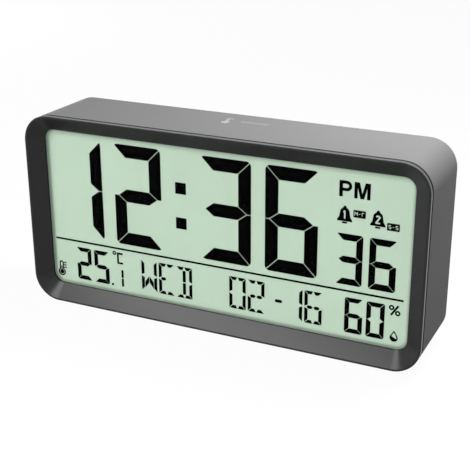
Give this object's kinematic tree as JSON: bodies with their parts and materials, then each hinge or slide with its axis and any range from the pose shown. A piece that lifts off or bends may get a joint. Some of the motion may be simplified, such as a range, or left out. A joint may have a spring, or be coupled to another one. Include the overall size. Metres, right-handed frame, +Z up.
{
  "type": "thermometer hygrometer clock",
  "caption": "Grey box-shaped desk clock with a funnel bezel round a pale green liquid crystal display of time, date, temperature and humidity; keys and battery door behind.",
  "frame": {"origin": "on the surface that the feet rest on, under the middle of the case", "axes": "+X to the right of a person facing the display, +Y to the back of the clock, +Z up"},
  "size_m": [0.1606, 0.0342, 0.0773],
  "materials": {
    "case_plastic": "fine-grained satin dark grey",
    "key_plastic": "satin black",
    "window_clear": "clear polished",
    "lcd_ink": "black",
    "lcd_face": "pale green, matt",
    "lcd_glass": "clear polished",
    "film_grey": "smooth grey film",
    "guide_clear": "clear moulded",
    "reflector_white": "matt white film",
    "tray_plastic": "moulded white",
    "board_green": "green solder mask",
    "chip_resin": "glossy black resin",
    "crystal_can": "bright drawn can",
    "capacitor_sleeve": "dark shrink sleeve",
    "screw_steel": "zinc plated",
    "header_black": "black moulding",
    "switch_black": "black moulding",
    "plunger_white": "white moulding",
    "zebra_rubber": "layered silicone",
    "foot_rubber": "matt black",
    "cell_jacket": "printed metal jacket",
    "contact_nickel": "nickel plated",
    "spring_nickel": "nickel plated wire",
    "buzzer_brass": "rolled brass",
    "buzzer_white": "fired ceramic, silvered",
    "sensor_white": "white moulding",
    "bead_resin": "dipped resin",
    "copper_foil": "rolled copper",
    "lamp_white": "clear-topped lamp",
    "lead_red": "insulated wire",
    "lead_black": "insulated wire",
    "lead_grey": "insulated wire"
  },
  "bodies": {
    "case": {"front_bezel": "case_plastic", "display_window": "window_clear", "lcd_segments": "lcd_ink", "front_polariser": "lcd_face", "lcd_front_glass": "lcd_glass", "lcd_rear_glass": "lcd_glass", "rear_polariser": "film_grey", "light_guide": "guide_clear", "reflector_sheet": "reflector_white", "lamp_board": "board_green", "backlight_lamps": "lamp_white", "zebra_strips": "zebra_rubber", "display_tray": "tray_plastic", "main_board": "board_green", "controller_blob": "chip_resin", "quartz_crystal": "crystal_can", "board_capacitor": "capacitor_sleeve", "board_screws": "screw_steel", "link_header": "header_black", "key_board": "board_green", "key_board_screws": "screw_steel", "key_switches": "switch_black", "rear_housing": "case_plastic", "case_screws": "screw_steel", "rubber_feet": "foot_rubber", "battery_cells": "cell_jacket", "battery_contacts": "contact_nickel", "battery_springs": "spring_nickel", "buzzer_disc": "buzzer_brass", "buzzer_ceramic": "buzzer_white", "sensor_board": "board_green", "humidity_sensor": "sensor_white", "thermistor_bead": "bead_resin", "touch_foil": "copper_foil", "touch_leaf": "contact_nickel", "red_leads": "lead_red", "black_leads": "lead_black", "sensor_leads": "lead_grey"},
    "battery_door": {"battery_door": "case_plastic"},
    "set_key": {"set_button": "key_plastic", "set_plunger": "plunger_white"},
    "mode_key": {"mode_button": "key_plastic", "mode_plunger": "plunger_white"},
    "up_key": {"up_button": "key_plastic", "up_plunger": "plunger_white"},
    "down_key": {"down_button": "key_plastic", "down_plunger": "plunger_white"},
    "alarm_key": {"alarm_button": "key_plastic", "alarm_plunger": "plunger_white"},
    "unit_key": {"unit_button": "key_plastic", "unit_plunger": "plunger_white"}
  },
  "joints": [
    {"name": "set_press", "type": "slide", "parent": "case", "child": "set_key", "axis": [0, -1, 0], "range_m": [0, 0.0006], "stiffness_N_per_m": 1500},
    {"name": "mode_press", "type": "slide", "parent": "case", "child": "mode_key", "axis": [0, -1, 0], "range_m": [0, 0.0006], "stiffness_N_per_m": 1500},
    {"name": "up_press", "type": "slide", "parent": "case", "child": "up_key", "axis": [0, -1, 0], "range_m": [0, 0.0006], "stiffness_N_per_m": 1500},
    {"name": "down_press", "type": "slide", "parent": "case", "child": "down_key", "axis": [0, -1, 0], "range_m": [0, 0.0006], "stiffness_N_per_m": 1500},
    {"name": "alarm_press", "type": "slide", "parent": "case", "child": "alarm_key", "axis": [0, -1, 0], "range_m": [0, 0.0006], "stiffness_N_per_m": 1500},
    {"name": "unit_press", "type": "slide", "parent": "case", "child": "unit_key", "axis": [0, -1, 0], "range_m": [0, 0.0006], "stiffness_N_per_m": 1500},
    {"name": "battery_door_hinge", "type": "hinge", "parent": "case", "child": "battery_door", "pos_m": [0, 0.01635, 0.0091], "axis": [-1, 0, 0], "range_deg": [0, 60]}
  ]
}
